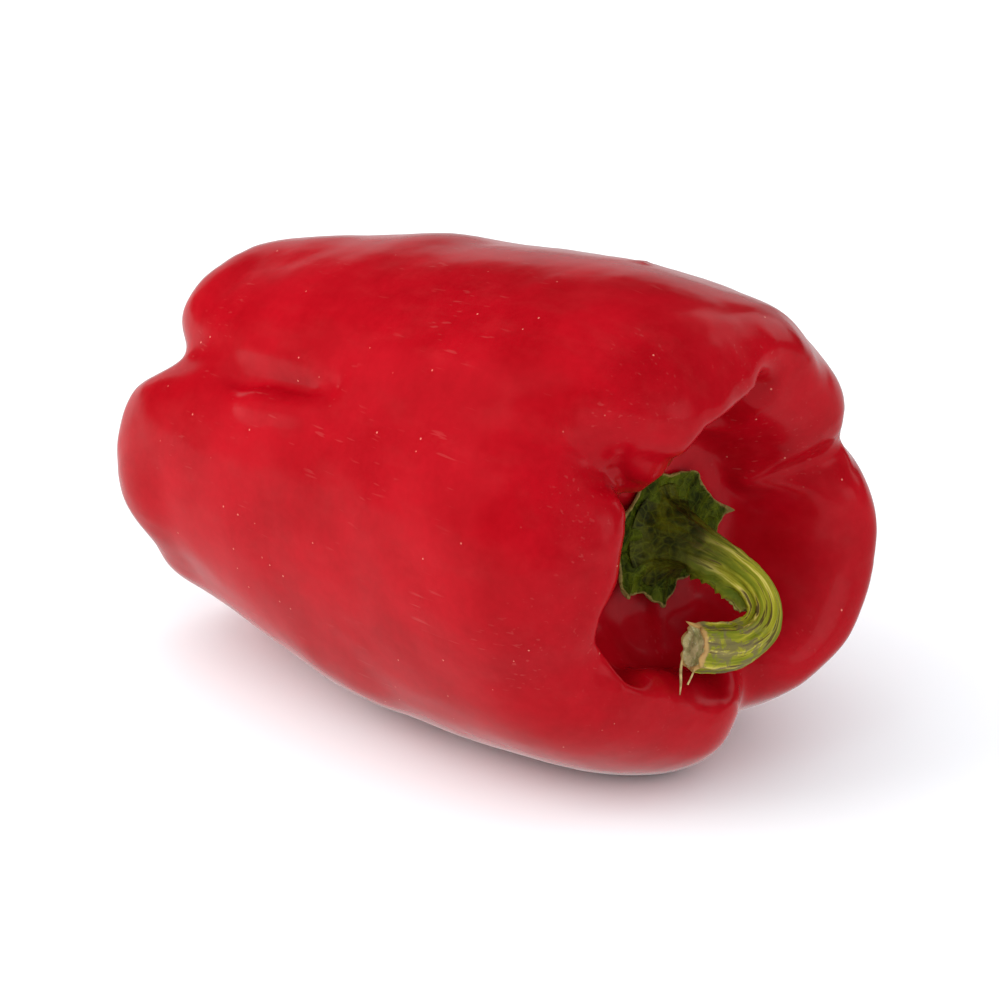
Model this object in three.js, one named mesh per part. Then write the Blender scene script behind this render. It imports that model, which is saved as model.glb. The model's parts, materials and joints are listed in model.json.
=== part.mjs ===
import * as THREE from "three";
import { mergeVertices } from "three/addons/utils/BufferGeometryUtils.js";

// A bell pepper lying on its side. Millimetres, +Z up. Its long axis runs along X and leans by AXIS_TILT,
// the stem end towards +X. The origin is on the resting surface, under the middle of the whole pepper.
// Pieces: the fruit, the calyx (the green leafy collar) and the stem.
// Angles go round the long axis, in degrees from +Y towards +Z. "x" runs along the axis.

const AXIS_HEIGHT = 42.4;
const AXIS_TILT = -5;

// Fruit: its four lobes. size widens a lobe against its neighbours, girth and rise make it stouter and
// longer, lip and throat widen the mouth at its crest and inside, and drop lengthens the blossom end.
const LOBES = [
  { at: 80, size: 0.3, girth: 3, rise: 0, lip: 0, throat: 0, drop: -3 }, // top
  { at: -26, size: 0.05, girth: 0.7, rise: 0, lip: 2, throat: 2, drop: 0 }, // far
  { at: -119, size: 0, girth: 0, rise: -3, lip: -3, throat: 6, drop: 0 }, // near, low
  { at: 168, size: 0, girth: 0, rise: -6, lip: -2, throat: 0, drop: 4 }, // near, high
];
const LOBE_EDGE = 8; // how quickly one lobe gives way to the next

// Furrows between neighbouring lobes: relative depth at the stem end, in the middle and at the blossom end
const FURROWS = [
  { between: [3, 0], stem: 1.2, middle: 0.5, blossom: 1.2 },
  { between: [0, 1], stem: 1, middle: 1, blossom: 1 },
  { between: [1, 2], stem: 1, middle: 3, blossom: 1 },
  { between: [2, 3], stem: 0.6, middle: 0, blossom: 0.5 },
];
const FURROW_EDGE = 1.5;

// Meridian from the blossom scar over the side and the shoulder to the floor of the stem cavity:
// [x, radius, furrow depth across the axis, furrow depth along it, share of the lobe's lip]
const FLOOR = 49;
const MERIDIAN = [
  [-54, 0, 0, 0, 0],
  [-55, 8, 1, 0, 0],
  [-61, 16, 3, 3, 0],
  [-68, 24, 4, 8, 0],
  [-65, 33, 5, 6, 0],
  [-52, 38, 4, 0, 0],
  [-26, 42, 2, 0, 0],
  [2, 44, 1, 0, 0],
  [30, 46, 1, 0, 0],
  [50, 46, 3, 0, 0],
  [63, 42, 5, 1, 0.4],
  [70, 34, 6, 7, 1],
  [67, 26, 5, 9, 0.7],
  [58, 21, 4, 4, 0.3],
  [FLOOR, 17, 1, 0, 0],
  [FLOOR, 8, 0, 0, 0],
  [FLOOR, 0, 0, 0, 0],
];
const THROAT_ROW = 13;

// Swellings and dents that this fruit grew with: the angle and meridian row of the middle, the reach
// in degrees and in rows, and how far the skin stands out from the axis and ahead along it
const SWELLS = [
  { at: 78, row: 6.5, wide: 30, long: 2.5, out: 1, ahead: 0 },
  { at: 80, row: 5.3, wide: 25, long: 0.6, out: -1, ahead: 0 },
  { at: 155, row: 4.4, wide: 12, long: 0.8, out: -1.5, ahead: 0 },
  { at: 72, row: 9.2, wide: 18, long: 0.9, out: -1.3, ahead: 0 },
  { at: 48, row: 10.2, wide: 22, long: 1, out: -1.8, ahead: 0 },
  { at: 20, row: 10, wide: 16, long: 1, out: -1, ahead: 0 },
  { at: 5, row: 10.5, wide: 14, long: 1.2, out: -1, ahead: 0 },
  { at: -59, row: 7.2, wide: 14, long: 1.7, out: 5.6, ahead: 0 },
  { at: -60, row: 9.8, wide: 18, long: 1.5, out: -2.8, ahead: -1 },
  { at: -84, row: 10.6, wide: 8, long: 1.5, out: -1, ahead: -1 },
  { at: -95, row: 10, wide: 16, long: 1.5, out: 1.6, ahead: 1 },
  { at: -130, row: 7, wide: 25, long: 1.4, out: 2.8, ahead: 0 },
  { at: -128, row: 5.4, wide: 14, long: 0.7, out: -2.2, ahead: 0 },
  { at: -108, row: 4.6, wide: 22, long: 0.9, out: -4.5, ahead: 0 },
  { at: -160, row: 12.5, wide: 14, long: 1.2, out: 12, ahead: -5 },
  { at: -140, row: 12, wide: 14, long: 1, out: 6, ahead: -2 },
  { at: -106, row: 11.6, wide: 18, long: 0.9, out: 3.5, ahead: 0 },
  { at: 75, row: 11.4, wide: 20, long: 1, out: 3.5, ahead: 0 },
  { at: 112, row: 11.6, wide: 16, long: 0.7, out: 0.5, ahead: 2 },
  { at: 136, row: 11, wide: 7, long: 1.3, out: 0, ahead: -2 },
];
const FRUIT_FACES = [76, 46]; // round the axis, and along the meridian

// Calyx: the outline of the collar as [angle, reach], corners and the hollows between them
const GAP = 0.45; // left between neighbouring pieces
const COLLAR = [
  [-150, 16.5], [-125, 11.5], [-100, 14.5], [-70, 10.5], [-40, 12], [-20, 14], [5, 17.5], [25, 13.5],
  [50, 14], [75, 11.5], [105, 13.5], [130, 11.5], [160, 15], [185, 12.5], [210, 16.5],
];
const COLLAR_THICKNESS = 1.1;
const COLLAR_CURL = 0.036; // the rim lifts by this much times the square of its reach beyond CURL_FROM
const CURL_FROM = 8;
const CONE_HEIGHT = 3; // the middle rises into the stem
const CONE_RADIUS = 7;

// Stem: the path of its middle, and its radius at evenly spaced places from the calyx to the cut end
const STEM_PATH = [
  [FLOOR + COLLAR_THICKNESS + CONE_HEIGHT + 3 * GAP, 0, 0],
  [58, 0.5, -0.6],
  [63.2, 4.1, -4.6],
  [69.4, 5.3, -10.2],
  [71, 2.4, -15.5],
  [69.5, -4.5, -17],
  [67, -11.5, -15.2],
];
const STEM_RADII = [4.8, 4.5, 3.9, 3.4, 3.3, 4, 4.6];
const STEM_RIBS = 5;
const RIB_DEPTH = 0.07; // of the radius
const STEM_FACES = [20, 26];

const { degToRad, clamp, smoothstep } = THREE.MathUtils;

function cubic(t, a, b, c, d) {
  const start = (c - a) / 2;
  const end = (d - b) / 2;
  return (2 * b - 2 * c + start + end) * t ** 3 + (-3 * b + 3 * c - 2 * start - end) * t ** 2 + start * t + b;
}

// A smooth value along evenly spaced ones, share 0 at the first and 1 at the last
function along(values, share) {
  const place = share * (values.length - 1);
  const i = Math.min(Math.floor(place), values.length - 2);
  const at = (k) => values[clamp(k, 0, values.length - 1)];
  return cubic(place - i, at(i - 1), at(i), at(i + 1), at(i + 2));
}

// A ball of faces round the X axis, each vertex moved to place(turn, share), share 1 at the first pole
function skin([around, lengthwise], place) {
  const ball = new THREE.SphereGeometry(1, around, lengthwise);
  const { position, uv } = ball.attributes;
  for (let i = 0; i < position.count; i++) {
    const point = place(2 * Math.PI * (uv.getX(i) % 1), uv.getY(i));
    position.setXYZ(i, point.x, point.y, point.z);
  }
  ball.deleteAttribute("normal");
  ball.deleteAttribute("uv");
  const closed = mergeVertices(ball, 1e-3);
  closed.computeVertexNormals();
  return closed;
}

const polar = (x, radius, turn) => new THREE.Vector3(x, radius * Math.cos(turn), radius * Math.sin(turn));

// How much of each lobe there is at an angle; the four add up to 1
function lobeShares(turn) {
  const pull = LOBES.map(({ at, size }) => Math.exp(LOBE_EDGE * (Math.cos(turn - degToRad(at)) + size)));
  const total = pull.reduce((sum, value) => sum + value, 0);
  return pull.map((value) => value / total);
}

function furrowAt(shares, stemward, blossomward) {
  return FURROWS.reduce((sum, { between: [i, j], stem, middle, blossom }) => {
    const depth = stem * stemward + blossom * blossomward + middle * (1 - stemward - blossomward);
    return sum + depth * (4 * shares[i] * shares[j]) ** FURROW_EDGE;
  }, 0);
}

function swellAt(turn, row) {
  let out = 0;
  let ahead = 0;
  for (const swell of SWELLS) {
    const aside = THREE.MathUtils.euclideanModulo(THREE.MathUtils.radToDeg(turn) - swell.at + 180, 360) - 180;
    const amount = Math.exp(-((aside / swell.wide) ** 2) - ((row - swell.row) / swell.long) ** 2);
    out += swell.out * amount;
    ahead += swell.ahead * amount;
  }
  return { out, ahead };
}

const columns = MERIDIAN[0].map((_, k) => MERIDIAN.map((row) => row[k]));
const lean = new THREE.Matrix4().makeRotationY(degToRad(AXIS_TILT)).setPosition(0, 0, AXIS_HEIGHT);

function fruitPoint(turn, share) {
  const shares = lobeShares(turn);
  const lobe = (key) => LOBES.reduce((sum, each, i) => sum + shares[i] * each[key], 0);
  const [axial, radial, across, lengthwise, lip] = columns.map((column) => along(column, share));
  const row = share * (MERIDIAN.length - 1);
  const stemward = smoothstep(axial, 5, 60);
  const blossomward = smoothstep(-axial, 5, 60);
  const furrow = furrowAt(shares, stemward, blossomward);
  const swell = swellAt(turn, row);
  const throat = lobe("throat") * Math.exp(-((row - THROAT_ROW) ** 2));
  const atPole = Math.min(1, radial / 8); // nothing stands out at the two ends of the meridian
  const longer = (stemward * lobe("rise") - blossomward * lobe("drop")) * Math.min(1, radial / 20);
  const x = axial + longer + atPole * swell.ahead - Math.sign(axial) * lengthwise * furrow;
  const wider = lobe("girth") * Math.min(1, radial / 30) + lip * lobe("lip") + atPole * (throat + swell.out);
  const point = polar(x, Math.max(0, radial + wider - across * furrow), turn).applyMatrix4(lean);
  point.z = Math.max(0, point.z); // the small flats that it rests on
  return point;
}

function collarReach(turn) {
  const angle = THREE.MathUtils.euclideanModulo(THREE.MathUtils.radToDeg(turn) + 150, 360) - 150;
  const next = COLLAR.findIndex(([at]) => at > angle);
  const [[a, from], [b, to]] = [COLLAR[next - 1], COLLAR[next]];
  return THREE.MathUtils.mapLinear(angle, a, b, from, to);
}

function calyxPoint(turn, share) {
  const radius = collarReach(turn) * Math.sin(Math.PI * share) ** 0.8;
  const curl = COLLAR_CURL * Math.max(0, radius - CURL_FROM) ** 2;
  const cone = CONE_HEIGHT * (1 - smoothstep(radius, 3, CONE_RADIUS + 3));
  const top = share > 0.5 ? COLLAR_THICKNESS + cone : 0;
  return polar(FLOOR + GAP + curl + top, radius, turn);
}

const stemCurve = new THREE.CatmullRomCurve3(STEM_PATH.map((point) => new THREE.Vector3(...point)));
const stemRings = STEM_FACES[1] - 2;
const stemFrames = stemCurve.computeFrenetFrames(stemRings);

// The first and last rings lie in the plane of the next ones, so that both ends are flat
function stemPoint(turn, share) {
  const ring = Math.round(share * STEM_FACES[1]) - 1;
  const i = clamp(ring, 0, stemRings);
  const rib = 1 + RIB_DEPTH * Math.cos(STEM_RIBS * turn);
  const radius = ring === i ? along(STEM_RADII, i / stemRings) * rib : 0;
  return stemCurve.getPointAt(i / stemRings)
    .addScaledVector(stemFrames.normals[i], radius * Math.cos(turn))
    .addScaledVector(stemFrames.binormals[i], radius * Math.sin(turn));
}

function piece(name, geometry, color, roughness) {
  const mesh = new THREE.Mesh(geometry, new THREE.MeshStandardMaterial({ color, roughness, metalness: 0 }));
  mesh.name = name;
  return mesh;
}

const pepper = new THREE.Group();
pepper.add(piece("fruit", skin(FRUIT_FACES, fruitPoint), 0xb3121c, 0.35));

const crown = new THREE.Group();
crown.applyMatrix4(lean);
crown.add(piece("calyx", skin([72, 12], calyxPoint), 0x34451a, 0.6));
crown.add(piece("stem", skin(STEM_FACES, stemPoint), 0x6f7d2a, 0.6));
pepper.add(crown);

const box = new THREE.Box3().setFromObject(pepper, true);
pepper.position.set(-(box.min.x + box.max.x) / 2, -(box.min.y + box.max.y) / 2, -box.min.z);

export default pepper;
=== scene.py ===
import json
from math import atan2, cos, degrees, hypot, radians, sin
from random import Random

import bmesh
import bpy
from mathutils import Euler, Matrix, Vector
from mathutils.kdtree import KDTree

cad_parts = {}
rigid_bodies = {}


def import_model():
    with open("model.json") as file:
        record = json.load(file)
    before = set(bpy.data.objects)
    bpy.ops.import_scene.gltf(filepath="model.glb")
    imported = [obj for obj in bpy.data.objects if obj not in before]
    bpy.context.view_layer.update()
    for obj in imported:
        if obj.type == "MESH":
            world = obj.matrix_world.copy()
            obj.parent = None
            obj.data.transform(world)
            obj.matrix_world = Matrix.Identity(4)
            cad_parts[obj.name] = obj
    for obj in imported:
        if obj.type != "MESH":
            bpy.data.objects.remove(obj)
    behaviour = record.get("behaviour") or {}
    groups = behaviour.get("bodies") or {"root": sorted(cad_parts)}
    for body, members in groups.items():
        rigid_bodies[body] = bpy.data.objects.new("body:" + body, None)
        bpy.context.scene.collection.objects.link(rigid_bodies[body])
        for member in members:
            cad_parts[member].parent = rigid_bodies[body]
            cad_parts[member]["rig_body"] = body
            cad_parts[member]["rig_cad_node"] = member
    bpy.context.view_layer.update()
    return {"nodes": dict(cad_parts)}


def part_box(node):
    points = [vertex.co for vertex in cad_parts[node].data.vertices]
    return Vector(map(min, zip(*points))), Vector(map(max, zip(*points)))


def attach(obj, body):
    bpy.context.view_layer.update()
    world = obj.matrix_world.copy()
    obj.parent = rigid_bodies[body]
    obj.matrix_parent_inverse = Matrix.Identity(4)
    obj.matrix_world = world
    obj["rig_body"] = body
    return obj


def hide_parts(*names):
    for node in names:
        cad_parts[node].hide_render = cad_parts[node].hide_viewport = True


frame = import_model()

# A red bell pepper lying on its side: the fruit, the calyx and the stem. Metres, +Z up.
MM = 0.001
AXIS_TILT = radians(5)  # the stem end is the higher one
fruit_low, fruit_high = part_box("fruit")
# The fruit's long axis, +X towards the stem end, and the point on it that the shapes are measured from
AXIS_START = Vector((fruit_low[0], (fruit_low[1] + fruit_high[1]) / 2, fruit_low[2])) \
    + Vector((72.38, -0.26, 42.4)) * MM
AXIS = Matrix.Translation(AXIS_START) @ Matrix.Rotation(-AXIS_TILT, 4, "Y")
# From the bench, where a piece is made upright round +Z, to the fruit's axis
STAND_TO_AXIS = Matrix(((0, 0, 1, 0), (1, 0, 0, 0), (0, 1, 0, 0), (0, 0, 0, 1)))


def by_axis(spot):
    """The point at x along the fruit's axis and y and z across it, in mm."""
    return AXIS @ (Vector(spot) * MM)


def at_axis(x, radius, turn):
    """The point at x along the fruit's axis, radius from it, turn degrees round from +Y towards +Z, in mm."""
    return by_axis((x, radius * cos(radians(turn)), radius * sin(radians(turn))))


# ---------------------------------------------------------------- shop tools

def work_on(piece):
    bpy.ops.object.select_all(action="DESELECT")
    piece.select_set(True)
    bpy.context.view_layer.objects.active = piece


def edit(piece):
    work_on(piece)
    bpy.ops.object.mode_set(mode="EDIT")
    bpy.ops.mesh.select_mode(type="VERT")
    bpy.ops.mesh.select_all(action="DESELECT")


def leave():
    bpy.ops.object.mode_set(mode="OBJECT")


def finish(piece, name, slot, paint=None):
    """Names a piece, settles its place into its mesh and gives it its body and perhaps a finish; its slot is
    not used.
    """
    work_on(piece)
    bpy.ops.object.transform_apply(location=True, rotation=True, scale=True)
    piece.name = name
    piece.data.name = name
    bpy.ops.object.shade_smooth()
    if paint:
        piece.data.materials.clear()
        piece.data.materials.append(paint)
    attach(piece, "root")


def modifier(piece, kind, **settings):
    work_on(piece)
    made = piece.modifiers.new(kind.title(), kind)
    for key, value in settings.items():
        setattr(made, key, value)
    bpy.ops.object.modifier_apply(modifier=made.name)


def crumple(piece, size, depth):
    """Cloudy dents over the whole piece, size mm across and depth mm deep."""
    clouds = bpy.data.textures.new(piece.name + " clouds", "CLOUDS")
    clouds.noise_scale = size * MM
    clouds.noise_depth = 3
    modifier(piece, "DISPLACE", texture=clouds, texture_coords="LOCAL", strength=depth * MM, mid_level=0.5)


def pick(piece, test):
    """In edit mode, selects the points whose place, in mm, passes the test."""
    bpy.ops.mesh.select_all(action="DESELECT")
    mesh = bmesh.from_edit_mesh(piece.data)
    for point in mesh.verts:
        point.select_set(bool(test(point.co / MM)))
    mesh.select_flush_mode()
    bmesh.update_edit_mesh(piece.data)


def pick_near(piece, spots):
    """In edit mode, selects the point of the surface nearest to each spot, in metres."""
    bpy.ops.mesh.select_all(action="DESELECT")
    mesh = bmesh.from_edit_mesh(piece.data)
    tree = KDTree(len(mesh.verts))
    mesh.verts.ensure_lookup_table()
    for point in mesh.verts:
        tree.insert(point.co, point.index)
    tree.balance()
    for spot in spots:
        mesh.verts[tree.find(spot)[1]].select_set(True)
    mesh.select_flush_mode()
    bmesh.update_edit_mesh(piece.data)


def drag(move, reach, falloff="SMOOTH"):
    """Moves what is selected by a step in mm, and what lies within reach mm of it follows."""
    bpy.ops.transform.translate(value=Vector(move) * MM, use_proportional_edit=True,
                                proportional_edit_falloff=falloff, proportional_size=reach * MM)


def swell(height, reach, falloff="SMOOTH"):
    """Raises what is selected along the surface's normals, in mm, and what lies within reach follows."""
    bpy.ops.transform.shrink_fatten(value=height * MM, use_even_offset=False, use_proportional_edit=True,
                                    proportional_edit_falloff=falloff, proportional_size=reach * MM)


def record_on(piece, name, kind, field, value):
    """Keeps a value worked out from each point's present place, in mm, as an attribute for the finish."""
    attribute = piece.data.attributes.new(name, kind, "POINT")
    for i, point in enumerate(piece.data.vertices):
        setattr(attribute.data[i], field, value(point.co / MM))


def between(spots, step):
    """Points every step along the straight lines between spots, all in metres."""
    points = [spots[0]]
    for start, end in zip(spots, spots[1:]):
        count = max(1, round((end - start).length / step))
        points += [start.lerp(end, (i + 1) / count) for i in range(count)]
    return points


# ---------------------------------------------------------------- finishes

class Wire:
    """A shader value that adds, multiplies and compares as a number does."""

    def __init__(self, finish, socket):
        self.finish = finish
        self.socket = socket

    def sum(self, operation, *values):
        return self.finish.node("ShaderNodeMath", {"operation": operation}, dict(enumerate(values)))

    def __add__(self, other):
        return self.sum("ADD", self, other)

    def __sub__(self, other):
        return self.sum("SUBTRACT", self, other)

    def __mul__(self, other):
        return self.sum("MULTIPLY", self, other)

    def __rsub__(self, other):
        return self.sum("SUBTRACT", other, self)

    def __lt__(self, other):
        return self.sum("LESS_THAN", self, other)

    __radd__ = __add__
    __rmul__ = __mul__

    def clamped(self):
        return self.sum("MINIMUM", self.sum("MAXIMUM", self, 0), 1)

    def between(self, low, high):
        """0 up to low, 1 from high, and smooth between."""
        return self.finish.node("ShaderNodeMapRange", {"interpolation_type": "SMOOTHSTEP"},
                                {"Value": self, "From Min": low, "From Max": high})


class Finish:
    """One material and its nodes."""

    def __init__(self, name, **sockets):
        self.material = bpy.data.materials.new(name)
        self.material.use_nodes = True
        self.tree = self.material.node_tree
        self.surface = self.tree.nodes["Principled BSDF"]
        for key, value in sockets.items():
            self.surface.inputs[key.replace("_", " ")].default_value = value

    def feed(self, socket, value):
        if isinstance(value, Wire):
            self.tree.links.new(value.socket, socket)
        else:
            socket.default_value = value

    def node(self, kind, settings=None, inputs=None, output=0):
        made = self.tree.nodes.new(kind)
        for key, value in (settings or {}).items():
            if key == "stops":
                ramp = made.color_ramp.elements
                while len(ramp) < len(value):
                    ramp.new(0.5)
                for element, (place, colour) in zip(ramp, value):
                    element.position = place
                    element.color = (*colour, 1)
            else:
                setattr(made, key, value)
        for key, value in (inputs or {}).items():
            self.feed(made.inputs[key], value)
        return Wire(self, made.outputs[output])

    def place(self, scale=(1, 1, 1), turn=(0, 0, 0), shift=(0, 0, 0)):
        """The object's own coordinates in millimetres, moved, turned and stretched."""
        coordinates = self.node("ShaderNodeTexCoord", output="Object")
        millimetres = self.node("ShaderNodeVectorMath", {"operation": "SCALE"},
                                {0: coordinates, "Scale": 1000})
        return self.node("ShaderNodeMapping", {"vector_type": "POINT"},
                         {"Vector": millimetres, "Location": shift, "Rotation": turn, "Scale": scale})

    def kept(self, name, number=False):
        """An attribute recorded on the piece: a vector, or a single number."""
        return self.node("ShaderNodeAttribute", {"attribute_name": name}, output=2 if number else 1)

    def stretched(self, vector, factors):
        return self.node("ShaderNodeVectorMath", {"operation": "MULTIPLY"}, {0: vector, 1: factors})

    def noise(self, where, size, detail=2.0, roughness=0.5, warp=0.0):
        """Cloudy values from 0 to 1 with patches of about that many millimetres."""
        return self.node("ShaderNodeTexNoise", {"noise_dimensions": "3D"},
                         {"Vector": where, "Scale": 1 / size, "Detail": detail,
                          "Roughness": roughness, "Distortion": warp})

    def cells(self, where, size, feature="F1"):
        """The distance to the nearest of scattered points about that many millimetres apart."""
        return self.node("ShaderNodeTexVoronoi", {"feature": feature},
                         {"Vector": where, "Scale": 1 / size, "Randomness": 1.0}, output="Distance")

    def mix(self, amount, a, b):
        """Colour a where amount is 0, b where it is 1."""
        made = self.tree.nodes.new("ShaderNodeMix")
        made.data_type = "RGBA"
        made.clamp_factor = True
        self.feed(made.inputs[0], amount)
        self.feed(made.inputs[6], a if isinstance(a, Wire) else (*a, 1))
        self.feed(made.inputs[7], b if isinstance(b, Wire) else (*b, 1))
        return Wire(self, made.outputs[2])

    def relief(self, *heights):
        """Bump nodes one on another; each height is (value, depth in mm)."""
        below = None
        for value, depth in heights:
            inputs = {"Height": value, "Distance": depth * MM, "Strength": 1.0}
            if below is not None:
                inputs["Normal"] = below
            below = self.node("ShaderNodeBump", None, inputs)
        self.feed(self.surface.inputs["Normal"], below)

    def put(self, **links):
        for key, value in links.items():
            self.feed(self.surface.inputs[key.replace("_", " ")], value)
        return self.material


def red_skin():
    skin = Finish("waxy red skin", Roughness=0.2, IOR=1.2)
    body = skin.place()
    deep, bright = (0.27, 0.0005, 0.0036), (0.36, 0.0012, 0.0064)
    mottle = skin.noise(body, 22, 3, 0.6)
    fine = skin.noise(body, 1.6, 2, 0.6)
    tone = (mottle.between(0.3, 0.7) * 0.75 + fine.between(0.3, 0.7) * 0.25).clamped()
    base = skin.mix(tone, deep, bright)
    # pale specks, and fine scratches along the length in patches
    dots = skin.cells(body, 4.1) < 0.048
    worn = skin.noise(body, 16, 2, 0.5).between(0.48, 0.62)
    scratches = skin.noise(skin.place(scale=(0.10, 1, 1)), 0.8, 1, 0.5).between(0.66, 0.74)
    haze = skin.noise(skin.place(scale=(0.35, 1, 1)), 5, 4, 0.6).between(0.45, 0.75)
    colour = skin.mix((scratches * worn * 0.045 + haze * 0.010).clamped(), base, (0.72, 0.30, 0.26))
    colour = skin.mix(dots * 0.5 * skin.noise(body, 7).between(0.42, 0.55), colour, (0.80, 0.30, 0.22))
    skin.relief((skin.noise(body, 9, 2, 0.4), 0.12), (fine, 0.003))
    roughness = 0.15 + mottle * 0.09 + fine * 0.03
    return skin.put(Base_Color=colour, Roughness=roughness)


def calyx_leaf():
    leaf = Finish("dull green calyx", Roughness=0.6, Specular_IOR_Level=0.05)
    body = leaf.place()
    share = leaf.kept("share", number=True)
    streaks = leaf.noise(leaf.stretched(leaf.kept("grain"), (9.0, 0.35, 0.0)), 1.6, 3, 0.6)
    patch = leaf.noise(body, 4.5, 4, 0.65, 0.8).between(0.35, 0.68)
    colour = leaf.mix(patch, (0.010, 0.015, 0.0004), (0.062, 0.078, 0.0012))
    colour = leaf.mix(streaks.between(0.55, 0.78) * 0.6, colour, (0.095, 0.110, 0.008))
    net = 1 - leaf.cells(body, 2.4, "DISTANCE_TO_EDGE").between(0.0, 0.10)
    colour = leaf.mix(net * 0.2, colour, (0.100, 0.125, 0.010))
    dry = leaf.noise(body, 1.3, 3, 0.6)
    rim = (share + (dry - 0.5) * 0.10).between(0.955, 0.99)
    colour = leaf.mix(rim * 0.8, colour, (0.22, 0.15, 0.045))
    leaf.relief((streaks, 0.35), (net, 0.12), (leaf.noise(body, 0.8, 4, 0.65), 0.15))
    return leaf.put(Base_Color=colour, Roughness=0.62 - patch * 0.14)


def stem_bark():
    bark = Finish("ribbed green stem", Roughness=0.55, Specular_IOR_Level=0.1)
    body = bark.place()
    grain = bark.kept("grain")
    height = bark.node("ShaderNodeSeparateXYZ", None, {"Vector": grain}, output=2)
    long = bark.stretched(grain, (1.0, 1.0, 0.07))
    streaks = bark.noise(long, 1.5, 3, 0.6)
    lines = bark.noise(long, 0.75, 2, 0.5)
    blotch = bark.noise(body, 3.2, 4, 0.7, 0.8)
    mottle = bark.noise(body, 4.5, 4, 0.65, 0.8).between(0.35, 0.68)
    young = bark.mix(mottle, (0.012, 0.014, 0.0002), (0.060, 0.062, 0.0006))
    green = bark.mix(streaks.between(0.35, 0.65), (0.12, 0.14, 0.002), (0.36, 0.32, 0.02))
    base = bark.mix(height.between(6, 19), young, green)
    net = 1 - bark.cells(body, 2.4, "DISTANCE_TO_EDGE").between(0.0, 0.10)
    base = bark.mix(net * (1 - height.between(3, 9)) * 0.2, base, (0.11, 0.13, 0.004))
    ribs = streaks.between(0.54, 0.66) * height.between(7, 20)
    colour = bark.mix(ribs * 0.8, base, (0.66, 0.53, 0.17))
    dark = lines.between(0.57, 0.64) * height.between(3, 14)
    colour = bark.mix(dark * 0.9, colour, (0.045, 0.024, 0.006))
    old = (blotch.between(0.46, 0.56) * height.between(27, 33)).clamped()
    colour = bark.mix(old * 0.8, colour, (0.13, 0.10, 0.045))
    flap = bark.kept("flap", number=True)
    colour = bark.mix((flap * 1.6 + blotch - 0.6).clamped() * 0.85, colour, (0.045, 0.085, 0.004))
    rim = (height + blotch * 1.2).between(STEM_RINGS[-1][0] - 0.3, STEM_RINGS[-1][0] + 0.4)
    colour = bark.mix(rim * 0.85, colour, (0.42, 0.24, 0.085))
    bark.relief((streaks, 0.25), (lines, 0.15), (bark.noise(body, 0.5, 3, 0.6), 0.06))
    return bark.put(Base_Color=colour, Roughness=0.45 + blotch * 0.2)


def stem_pith():
    pith = Finish("pale cut pith", Roughness=0.75, IOR=1.4)
    body = pith.place()
    tufts = pith.noise(body, 0.9, 4, 0.7)
    patch = pith.noise(body, 2.6, 3, 0.6).between(0.38, 0.62)
    colour = pith.mix(patch, (0.26, 0.25, 0.08), (0.55, 0.48, 0.22))
    colour = pith.mix(tufts.between(0.58, 0.70), colour, (0.66, 0.62, 0.46))
    pith.relief((tufts, 0.35), (pith.noise(body, 0.4, 3, 0.6), 0.12))
    return pith.put(Base_Color=colour)


def dry_fibre():
    fibre = Finish("dry tan fibre", Roughness=0.6, IOR=1.4)
    along = fibre.noise(fibre.place(), 1.2, 3, 0.6)
    colour = fibre.mix(along.between(0.3, 0.7), (0.22, 0.13, 0.035), (0.50, 0.36, 0.14))
    return fibre.put(Base_Color=colour)


# ---------------------------------------------------------------- fruit

def copy_of(node):
    """The node's solid as a new closed mesh, its doubles merged."""
    work_on(frame["nodes"][node])
    bpy.ops.object.duplicate()
    piece = bpy.context.view_layer.objects.active
    piece.parent = None
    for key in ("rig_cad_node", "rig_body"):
        del piece[key]
    edit(piece)
    bpy.ops.mesh.select_all(action="SELECT")
    bpy.ops.mesh.remove_doubles(threshold=1e-6)
    bpy.ops.mesh.tris_convert_to_quads(face_threshold=radians(60), shape_threshold=radians(60))
    leave()
    return piece


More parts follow.
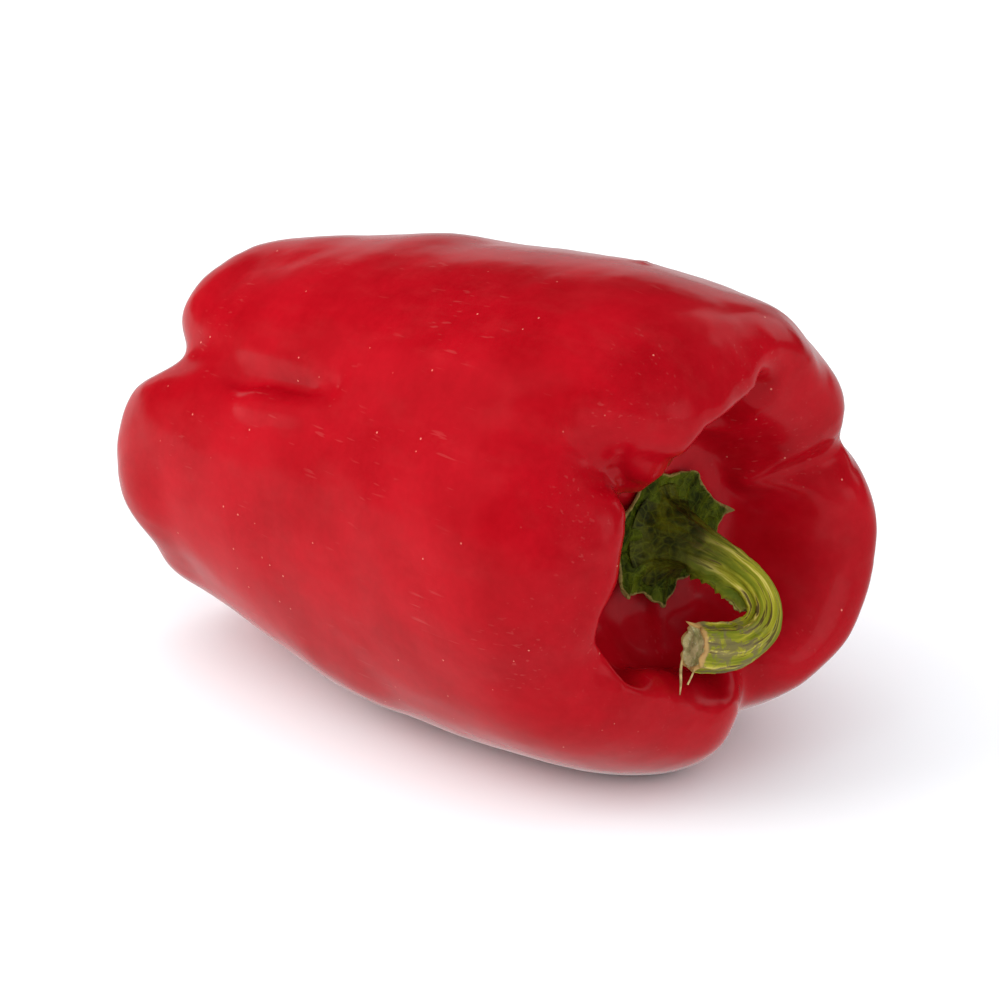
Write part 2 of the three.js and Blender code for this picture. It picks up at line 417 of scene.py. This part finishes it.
# Where the fruit's surface is drawn in or out, each a line of spots (x along the axis, radius, turn) in mm
# and degrees, then the move in mm and how far round it the surface follows
DRAGS = [
    # the near wall of the mouth leans further over the hollow
    ([(62.7, 32.1, 150), (63.7, 31.8, 157), (63.9, 31.6, 163), (63.8, 31.9, 172)], (1.3, 1.3, 0), 9),
    # the top lobe's lip hangs lower over it, down to where it pinches the near wall
    ([(57, 22, 130), (60.6, 25.7, 129), (60, 25, 110)], (1.2, 1.2, -2.4), 8),
    # and its fold bulges down over the inner face, which is dished behind it
    ([(69.9, 36.7, 86), (70.4, 35.3, 96)], (1.4, 1.8, -3.8), 8.5),
    ([(71.1, 34.2, 105), (71, 32.8, 113), (69.2, 30.7, 119)], (0.9, 1.2, -2.0), 8),
    ([(66, 30, 72), (63, 27.5, 74), (58.6, 23.8, 70)], (-2.8, 1.0, 1.6), 6),
    # the near and lower lips stand up round the hollow
    ([(64.3, 31.9, -134), (66.7, 31.1, -118), (66.6, 31.4, -109), (67.3, 32.5, -101)], (0, 0.3, 2.2), 9),
    # and their inner side is thick, so that they end in a roll
    ([(59, 27.5, -104), (60, 28, -118), (60, 29, -132)], (0.7, 0.9, 3.2), 7),
    # the outer edge of the top lobe, the notch beside it and the far lobe are fuller
    ([(66.6, 41.9, 64), (61.7, 44.4, 62)], (0.8, 0.9, 1.3), 14),
    ([(65, 38, 38)], (0.3, 0.2, 0.4), 9),
    ([(66.8, 31.9, 26), (63.9, 34.3, 17)], (0.9, 1.6, 0.3), 6.5),
    ([(69.5, 36.8, -40), (69.7, 37, -26), (70.1, 35.4, -10)], (0.6, 1.0, -0.3), 12),
    # and so are the lower lobe at the blossom end, the belly and the top of the blossom end
    ([(-58.4, 37.1, -174), (-57.6, 34.8, -154)], (-0.5, -1.4, -0.7), 13),
    ([(-9.2, 45.3, -141), (-2, 46.2, -138)], (0, -0.8, -0.6), 14),
    ([(-13, 47, 79)], (0, 0, 0.8), 14),
    ([(-39.4, 42.8, 91), (-53.6, 39.9, 95), (-56.1, 39.1, 110)], (-0.4, -0.2, 0.9), 12),
]
# The same for creases and ridges along the surface's normals: line, height in mm, reach
CREASES = [
    # the groove that runs in from the blossom end on the near side, and the ridge below it
    ([(-34, 44, 141), (-24, 44, 141), (-14.4, 44, 141), (-3, 44.6, 140)], -1.5, 6),
    ([(-32, 44, 141), (-20, 44, 141), (-8, 44, 141)], -0.9, 2.4),
    ([(-24, 44, 147), (-14, 44, 147), (-7, 44, 146)], 1.3, 5),
    # the small forked crease where the top lobe pinches the near wall
    ([(58, 24, 131), (61, 30, 138)], -0.6, 1.8),
    ([(61, 30, 138), (60, 34, 147)], -0.35, 1.4),
    ([(61, 30, 138), (63, 34, 130)], -0.35, 1.4),
    # the bump and the low ridge on the floor of the hollow
    ([(46.9, 19, -104)], 1.2, 6.5),
    ([(48.5, 16, -60), (56, 23, -58)], 0.7, 5),
    # a knot of short wrinkles on top, and a low bump by the mouth
    ([(28, 47, 66), (31, 47, 69)], -0.35, 1.6),
    ([(31, 47, 64), (35, 47, 66)], -0.3, 1.5),
    ([(33, 47, 70), (35, 47, 75)], 0.3, 1.6),
    ([(56, 41, 133)], 0.35, 4),
]
# Then the spots where it is rubbed smooth again, and how far round them
SOFTENED = [((69.8, 39.5, 74), 8), ((69, 39, 80), 5), ((66.5, 42, 64), 7), ((66.9, 34, 28), 4),
            ((64.3, 31.9, 20), 4), ((62, 29, -108), 7), ((62, 30, -120), 7), ((63, 30, -134), 7)]
SKIN_LIFT = 0.3  # mm that the rounded skin stands out again, after the rounding has drawn it in
RUBS = 20


def make_fruit(paint):
    fruit = copy_of("fruit")
    modifier(fruit, "SUBSURF", levels=2, render_levels=2)
    crumple(fruit, 20, 0.8)
    edit(fruit)
    bpy.ops.mesh.select_all(action="SELECT")
    bpy.ops.transform.shrink_fatten(value=SKIN_LIFT * MM, use_even_offset=False)
    for line, move, reach in DRAGS:
        pick_near(fruit, between([at_axis(*spot) for spot in line], MM))
        drag(move, reach)
    for line, height, reach in CREASES:
        pick_near(fruit, between([at_axis(*spot) for spot in line], MM))
        swell(height, reach)
    for spot, reach in SOFTENED:
        middle = at_axis(*spot)
        pick(fruit, lambda p: (p * MM - middle).length < reach * MM)
        bpy.ops.mesh.vertices_smooth(factor=0.5, repeat=RUBS)
    # the spots it rests on are flat
    pick(fruit, lambda p: p.z < 0)
    bpy.ops.transform.resize(value=(1, 1, 0), center_override=(0, 0, 0))
    leave()
    finish(fruit, "pepper_fruit", "skin", paint)
    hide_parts("fruit")


# ---------------------------------------------------------------- calyx

CALYX_FLOOR = 49.95  # mm along the axis, where the sheet lies
CALYX_RADIUS = 12.5
CALYX_RINGS = (0.30, 0.44, 0.56, 0.67, 0.77, 0.86, 0.93, 0.975, 1.0)
CALYX_COLUMNS = 96
CALYX_THICK = 0.7  # mm
MARGIN_TEARS = 46
# The ragged outline: turn round the axis in degrees and reach from it in mm
CALYX_CORNERS = [(-150, 16.5), (-125, 11.5), (-100, 13.9), (-70, 10.6), (-40, 12), (-20, 14), (3, 16.3),
                 (25, 13.2), (52, 14.3), (75, 11.5), (105, 13.5), (130, 11.5), (160, 15), (185, 12.5)]


def make_calyx(paint):
    chance = Random(5)
    bpy.ops.mesh.primitive_circle_add(vertices=CALYX_COLUMNS, fill_type="NOTHING",
                                      radius=CALYX_RADIUS * CALYX_RINGS[0] * MM)
    calyx = bpy.context.active_object
    edit(calyx)
    bpy.ops.mesh.select_all(action="SELECT")
    for near, far in zip(CALYX_RINGS, CALYX_RINGS[1:]):
        bpy.ops.mesh.extrude_region_move()
        bpy.ops.transform.resize(value=(far / near, far / near, 1), center_override=(0, 0, 0))
    pick(calyx, lambda p: hypot(p.x, p.y) < CALYX_RADIUS * CALYX_RINGS[0] + 0.1)
    bpy.ops.mesh.extrude_region_move()
    bpy.ops.transform.resize(value=(0.5, 0.5, 1), center_override=(0, 0, 0))
    bpy.ops.mesh.extrude_region_move()
    bpy.ops.mesh.merge(type="CENTER")
    leave()
    record_on(calyx, "grain", "FLOAT_VECTOR", "vector",
              lambda p: (atan2(p.y, p.x), hypot(p.x, p.y), 0))
    record_on(calyx, "share", "FLOAT", "value", lambda p: hypot(p.x, p.y) / CALYX_RADIUS)
    edit(calyx)
    # the lobes and the notches between them
    for turn, reach in CALYX_CORNERS:
        way = Vector((cos(radians(turn)), sin(radians(turn)), 0))
        pick_near(calyx, [way * CALYX_RADIUS * MM])
        drag(way * (reach - CALYX_RADIUS), 6.5, "SHARP")
    # a vein to each lobe, a hollow to each notch, and the margin bent up over the fruit's bowl
    for turn, reach in CALYX_CORNERS:
        way = Vector((cos(radians(turn)), sin(radians(turn)), 0))
        pick_near(calyx, between([way * 4 * MM, way * (reach - 1) * MM], 0.8 * MM))
        drag((0, 0, 0.75 if reach > CALYX_RADIUS else -0.55), 2.2)
    for ring, lift in ((11, 0.35), (13, 0.5), (14.5, 0.5)):
        pick(calyx, lambda p: hypot(p.x, p.y) > ring)
        bpy.ops.transform.translate(value=(0, 0, lift * MM))
    for ring, lift in ((9.5, 0.3), (8, 0.4), (6.5, 0.5), (5, 0.6)):
        pick(calyx, lambda p: hypot(p.x, p.y) < ring)
        bpy.ops.transform.translate(value=(0, 0, lift * MM))
    # the torn and curled margin
    for i in range(MARGIN_TEARS):
        turn = radians(i * 360 / MARGIN_TEARS + chance.uniform(-3, 3))
        way = Vector((cos(turn), sin(turn), 0))
        pick_near(calyx, [way * 30 * MM])
        drag(way * chance.uniform(-0.9, 0.5) + Vector((0, 0, chance.uniform(-0.5, 1.0))), 1.6, "SHARP")
    leave()
    modifier(calyx, "SOLIDIFY", thickness=CALYX_THICK * MM, offset=0)
    modifier(calyx, "SUBSURF", levels=2, render_levels=2)
    crumple(calyx, 3.0, 0.5)
    calyx.matrix_world = AXIS @ Matrix.Translation((CALYX_FLOOR * MM, 0, 0)) @ STAND_TO_AXIS
    finish(calyx, "pepper_calyx", "calyx", paint)
    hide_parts("calyx")


# ---------------------------------------------------------------- stem

STEM_COLUMNS = 56
# The stem's line in axis coordinates, mm, and its rings: height along it and radius
STEM_LINE = [(49.7, 0, 0), (54.0, 0.3, -0.2), (58.6, 1.6, -1.8), (63.4, 4.3, -5), (68.4, 5.9, -9.8),
             (70.8, 4.0, -14.2), (70.2, -1.5, -16.9), (68.6, -6.9, -16.6), (67, -11.9, -15.1)]
STEM_RINGS = [(0, 11.0), (0.5, 9.4), (1.4, 7.6), (2.8, 6.2), (4.4, 5.4), (6, 4.8), (8, 4.3), (10, 3.95),
              (12, 3.7), (14, 3.5), (16, 3.35), (18, 3.25), (20, 3.2), (22, 3.2), (24, 3.2), (26, 3.3),
              (28, 3.5), (30, 3.75), (32, 4.0), (34, 4.2), (36, 4.35), (38, 4.45), (40, 4.45), (41.5, 4.4),
              (42.6, 4.45)]
# Lengthwise ribs: turn in degrees, how far each stands out or in, mm
STEM_RIBS = [(8, 0.55), (30, -0.3), (52, 0.35), (75, -0.35), (98, 0.6), (122, -0.35), (150, 0.4), (172, -0.3),
             (196, 0.55), (222, -0.4), (248, 0.35), (270, -0.3), (292, 0.5), (318, -0.35), (340, 0.3)]


# The wrinkled ridge on the inside of the bend: its start and end in axis coordinates, mm
FLAP_LINE = [(58.8, -0.9, -3.3), (62.6, 1.2, -6.6), (66.6, 3.2, -11.2)]
FLAP_OUT = Vector((-0.25, -0.75, -0.6))
FLAP_FADE = 2.6  # mm round the ridge over which its darker green fades out
# The cut end inside its rim, ring by ring: radius and rise in mm, and the radius where the pith starts
CUT_RINGS = ((4.1, 0.25), (3.7, -0.15), (3.3, -0.5), (2.4, -0.3), (1.3, 0.2))
PITH_RADIUS = 3.75
TORN_TIP = (66.2, -12.8, -10.9)  # of skin at the upper edge of the cut, in axis coordinates, mm


def make_flap(stem):
    """Draws the inside of the bend out into a row of small wrinkles that ends in a ragged tip."""
    chance = Random(8)
    spots = between([by_axis(spot) for spot in FLAP_LINE], 1.0 * MM)
    edit(stem)
    for spot in spots:
        pick_near(stem, [spot])
        drag(FLAP_OUT * chance.uniform(1.3, 2.4), 2.0)
    pick_near(stem, [spots[-1]])
    drag(FLAP_OUT * 1.3 + Vector((0.3, 0.3, -0.4)), 1.6, "SHARP")
    leave()
    record_on(stem, "flap", "FLOAT", "value",
              lambda p: max(0, 1 - min((p * MM - spot).length for spot in spots) / (FLAP_FADE * MM)))


def make_stem(bark, pith):
    """Made upright, ribbed, cut across at the top, then bent along its line."""
    chance = Random(3)
    bpy.ops.mesh.primitive_circle_add(vertices=STEM_COLUMNS, fill_type="NOTHING",
                                      radius=STEM_RINGS[0][1] * MM)
    stem = bpy.context.active_object
    edit(stem)
    bpy.ops.mesh.select_all(action="SELECT")
    for (low, wide), (high, narrow) in zip(STEM_RINGS, STEM_RINGS[1:]):
        bpy.ops.mesh.extrude_region_move(TRANSFORM_OT_translate={"value": (0, 0, (high - low) * MM)})
        bpy.ops.transform.resize(value=(narrow / wide, narrow / wide, 1), center_override=(0, 0, 0))
    # the cut end: an uneven rim round a hollow of pith
    top, rim = STEM_RINGS[-1]
    for radius, rise in CUT_RINGS:
        bpy.ops.mesh.extrude_region_move(TRANSFORM_OT_translate={"value": (0, 0, rise * MM)})
        bpy.ops.transform.resize(value=(radius / rim, radius / rim, 1), center_override=(0, 0, 0))
        rim = radius
    bpy.ops.mesh.extrude_region_move()
    bpy.ops.mesh.merge(type="CENTER")
    pick(stem, lambda p: p.z < 0.01)
    bpy.ops.mesh.extrude_region_move()
    bpy.ops.mesh.merge(type="CENTER")
    bpy.ops.mesh.select_all(action="SELECT")
    bpy.ops.mesh.normals_make_consistent(inside=False)
    for turn, stand in STEM_RIBS:
        pick(stem, lambda p: 0.4 < p.z < top - 0.2 and hypot(p.x, p.y) > 3
             and abs((degrees(atan2(p.y, p.x)) - turn + 180) % 360 - 180) < 3.4)
        bpy.ops.transform.shrink_fatten(value=stand * MM, use_even_offset=False)
    for turn in range(0, 360, 24):
        way = Vector((cos(radians(turn)), sin(radians(turn)), 0))
        pick_near(stem, [(way * 4 + Vector((0, 0, top + 0.2))) * MM])
        drag(way * chance.uniform(-0.5, 0.3) + Vector((0, 0, chance.uniform(-0.9, 0.7))), 1.4, "SHARP")
    leave()
    record_on(stem, "grain", "FLOAT_VECTOR", "vector", lambda p: p)
    stem.data.materials.append(bark)
    stem.data.materials.append(pith)
    for face in stem.data.polygons:
        middle = face.center / MM
        face.material_index = int(middle.z > top - 0.8 and hypot(middle.x, middle.y) < PITH_RADIUS)
    modifier(stem, "SUBSURF", levels=2, render_levels=2)
    crumple(stem, 1.6, 0.45)

    bpy.ops.curve.primitive_bezier_curve_add(location=(0, 0, 0))
    line = bpy.context.active_object
    spline = line.data.splines[0]
    spline.bezier_points.add(len(STEM_LINE) - 2)
    for point, spot in zip(spline.bezier_points, STEM_LINE):
        point.co = by_axis(spot)
        point.handle_left_type = "AUTO"
        point.handle_right_type = "AUTO"
    line.data.use_stretch = True
    line.data.use_deform_bounds = True
    line.data.resolution_u = 24
    modifier(stem, "CURVE", object=line, deform_axis="POS_Z")
    bpy.data.objects.remove(line)
    make_flap(stem)
    edit(stem)
    pick_near(stem, [by_axis(TORN_TIP)])
    drag((-0.9, -0.9, 0.9), 1.3, "SHARP")
    leave()
    finish(stem, "pepper_stem", "stem")
    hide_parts("stem")


def fibre(name, spots, thickness, paint):
    """A thin dried fibre through spots in axis coordinates, mm, fine at both ends."""
    bpy.ops.curve.primitive_bezier_curve_add(location=(0, 0, 0))
    thread = bpy.context.active_object
    spline = thread.data.splines[0]
    spline.bezier_points.add(len(spots) - 2)
    for i, (point, spot) in enumerate(zip(spline.bezier_points, spots)):
        point.co = by_axis(spot)
        point.handle_left_type = "AUTO"
        point.handle_right_type = "AUTO"
        point.radius = (0.6, 1.0, 0.9, 0.35)[min(3, i)]
    thread.data.dimensions = "3D"
    thread.data.bevel_depth = thickness / 2 * MM
    thread.data.bevel_resolution = 2
    thread.data.use_fill_caps = True
    bpy.ops.object.convert(target="MESH")
    thread = bpy.context.active_object
    finish(thread, name, "stem", paint)
    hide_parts("stem")


skin = red_skin()
leaf = calyx_leaf()
bark = stem_bark()
pith = stem_pith()
dry = dry_fibre()

make_fruit(skin)
make_calyx(leaf)
make_stem(bark, pith)
fibre("stem_fibre_long",
      [(66.6, -13.6, -16.2), (67.6, -15.4, -18.4), (67.9, -15.9, -20.8), (67.2, -15.6, -23.4)], 0.55, dry)
fibre("stem_fibre_short", [(68.4, -12.0, -18.0), (68.8, -13.6, -19.6), (68.4, -14.6, -21.4)], 0.4, dry)

# ---------------------------------------------------------------- studio

VIEW = 44.68             # degrees, where the camera stands


AIM = (0, 0, 0.05)
# Softboxes that the skin mirrors: name, place, size in metres, watts
MIRRORED = [("back right", (0.1, 1.25, 0.80), (1.2, 0.8), 4.5),
            ("right side", (1.5, 0.1, 0.45), (0.8, 0.7), 3.0),
            ("backdrop", (-1.15, 1.15, 0.30), (2.2, 0.5), 2.2)]
# Softboxes that only light it
FILLS = [("top fill", (-0.5, -0.4, 1.4), 4), ("left fill", (-0.9, -0.9, 0.45), 18),
         ("right fill", (1.2, -0.3, 0.5), 5)]
FILL_SIZE = (1.2, 1.2)


def studio():
    bpy.ops.mesh.primitive_plane_add(size=8, location=(0, 0, 0))
    floor = bpy.context.active_object
    floor.name = "floor"
    plain = Finish("white floor", Roughness=0.9, Specular_IOR_Level=0.1)
    floor.data.materials.append(plain.put(Base_Color=(0.92, 0.92, 0.92, 1)))
    floor.visible_glossy = False

    def softbox(name, place, aim, size, power):
        bpy.ops.object.light_add(type="AREA", location=place)
        light = bpy.context.active_object
        light.name = name
        light.data.shape = "RECTANGLE"
        light.data.size, light.data.size_y = size
        light.data.energy = power
        light.visible_camera = False
        light.rotation_mode = "QUATERNION"
        if aim is None:  # lying face up, square to the view
            light.rotation_quaternion = Euler((radians(180), 0, radians(VIEW))).to_quaternion()
        else:
            light.rotation_quaternion = (Vector(aim) - Vector(place)).to_track_quat("-Z", "Y")
        return light

    for name, place, size, power in MIRRORED:
        softbox(name, place, AIM, size, power).visible_diffuse = False
    # what the skin mirrors of the table is dimmer than the table itself
    softbox("table glow", (0.2, -0.2, 0.001), None, (4, 4), 46).visible_diffuse = False
    for name, place, power in FILLS:
        softbox(name, place, AIM, FILL_SIZE, power).visible_glossy = False

    world = bpy.data.worlds.new("studio")
    bpy.context.scene.world = world
    world.use_nodes = True
    sky = world.node_tree.nodes["Background"]
    sky.inputs["Color"].default_value = (0.92, 0.96, 1, 1)
    sky.inputs["Strength"].default_value = 1.12
    world.cycles_visibility.glossy = False  # even light from all round, with nothing of it mirrored
    bpy.context.scene.view_settings.view_transform = "Standard"


def camera(azimuth, elevation, distance, target, lens):
    a, e = radians(azimuth), radians(elevation)
    back = Vector((sin(a) * cos(e), -cos(a) * cos(e), sin(e)))
    bpy.ops.object.camera_add(location=Vector(target) + back * distance)
    made = bpy.context.active_object
    made.rotation_mode = "QUATERNION"
    made.rotation_quaternion = (-back).to_track_quat("-Z", "Y")
    made.data.lens = lens
    made.data.sensor_width = 36
    made.data.clip_start = 0.05
    made.data.clip_end = 20
    bpy.context.scene.camera = made


studio()
camera(VIEW, 22.72, 0.9938, (0.00665, -0.00191, 0.04215), 184.16)
